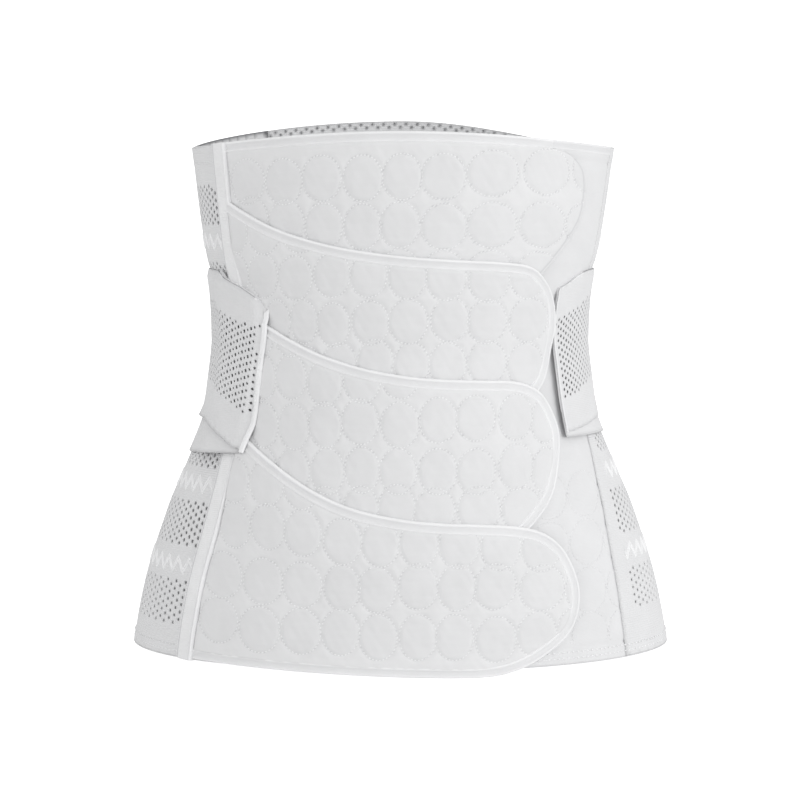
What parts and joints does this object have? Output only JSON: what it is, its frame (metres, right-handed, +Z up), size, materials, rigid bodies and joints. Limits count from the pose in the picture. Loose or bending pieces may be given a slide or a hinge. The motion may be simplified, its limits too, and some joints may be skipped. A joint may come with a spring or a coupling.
{
  "type": "abdominal binder",
  "caption": "Hourglass abdominal binder in worn form, with overlapping quilted front flaps, bound edges, netted elastic sides and a double strap round each side.",
  "frame": {"origin": "centre of the waist ring, inside the open torso hollow", "axes": "+Z up towards the ribs, -Y out of the front with the flaps, +X towards the rounded ends of the flaps"},
  "size_m": [0.3209, 0.2336, 0.3165],
  "materials": {
    "quilted_pad": "matt white knit, quilted in rings",
    "knit_panel": "matt white elastic knit with net bands",
    "elastic_strap": "matt white elastic webbing with a net zone",
    "binding_tape": "smooth white folded tape"
  },
  "bodies": {
    "root": {"front_base_panel": "knit_panel", "side_panel_left": "knit_panel", "side_panel_right": "knit_panel", "back_panel": "knit_panel", "quilted_flap_top": "quilted_pad", "quilted_flap_upper": "quilted_pad", "quilted_flap_lower": "quilted_pad", "quilted_flap_bottom": "quilted_pad", "binding_top_edge": "binding_tape", "binding_upper_flap": "binding_tape", "binding_lower_flap": "binding_tape", "binding_bottom_flap": "binding_tape", "boning_casing_left": "knit_panel", "casing_piping_left": "binding_tape", "strap_left_inner": "elastic_strap", "strap_left_outer": "elastic_strap", "strap_left_end_binding": "binding_tape", "strap_right_inner": "elastic_strap", "strap_right_outer": "elastic_strap"}
  },
  "joints": []
}
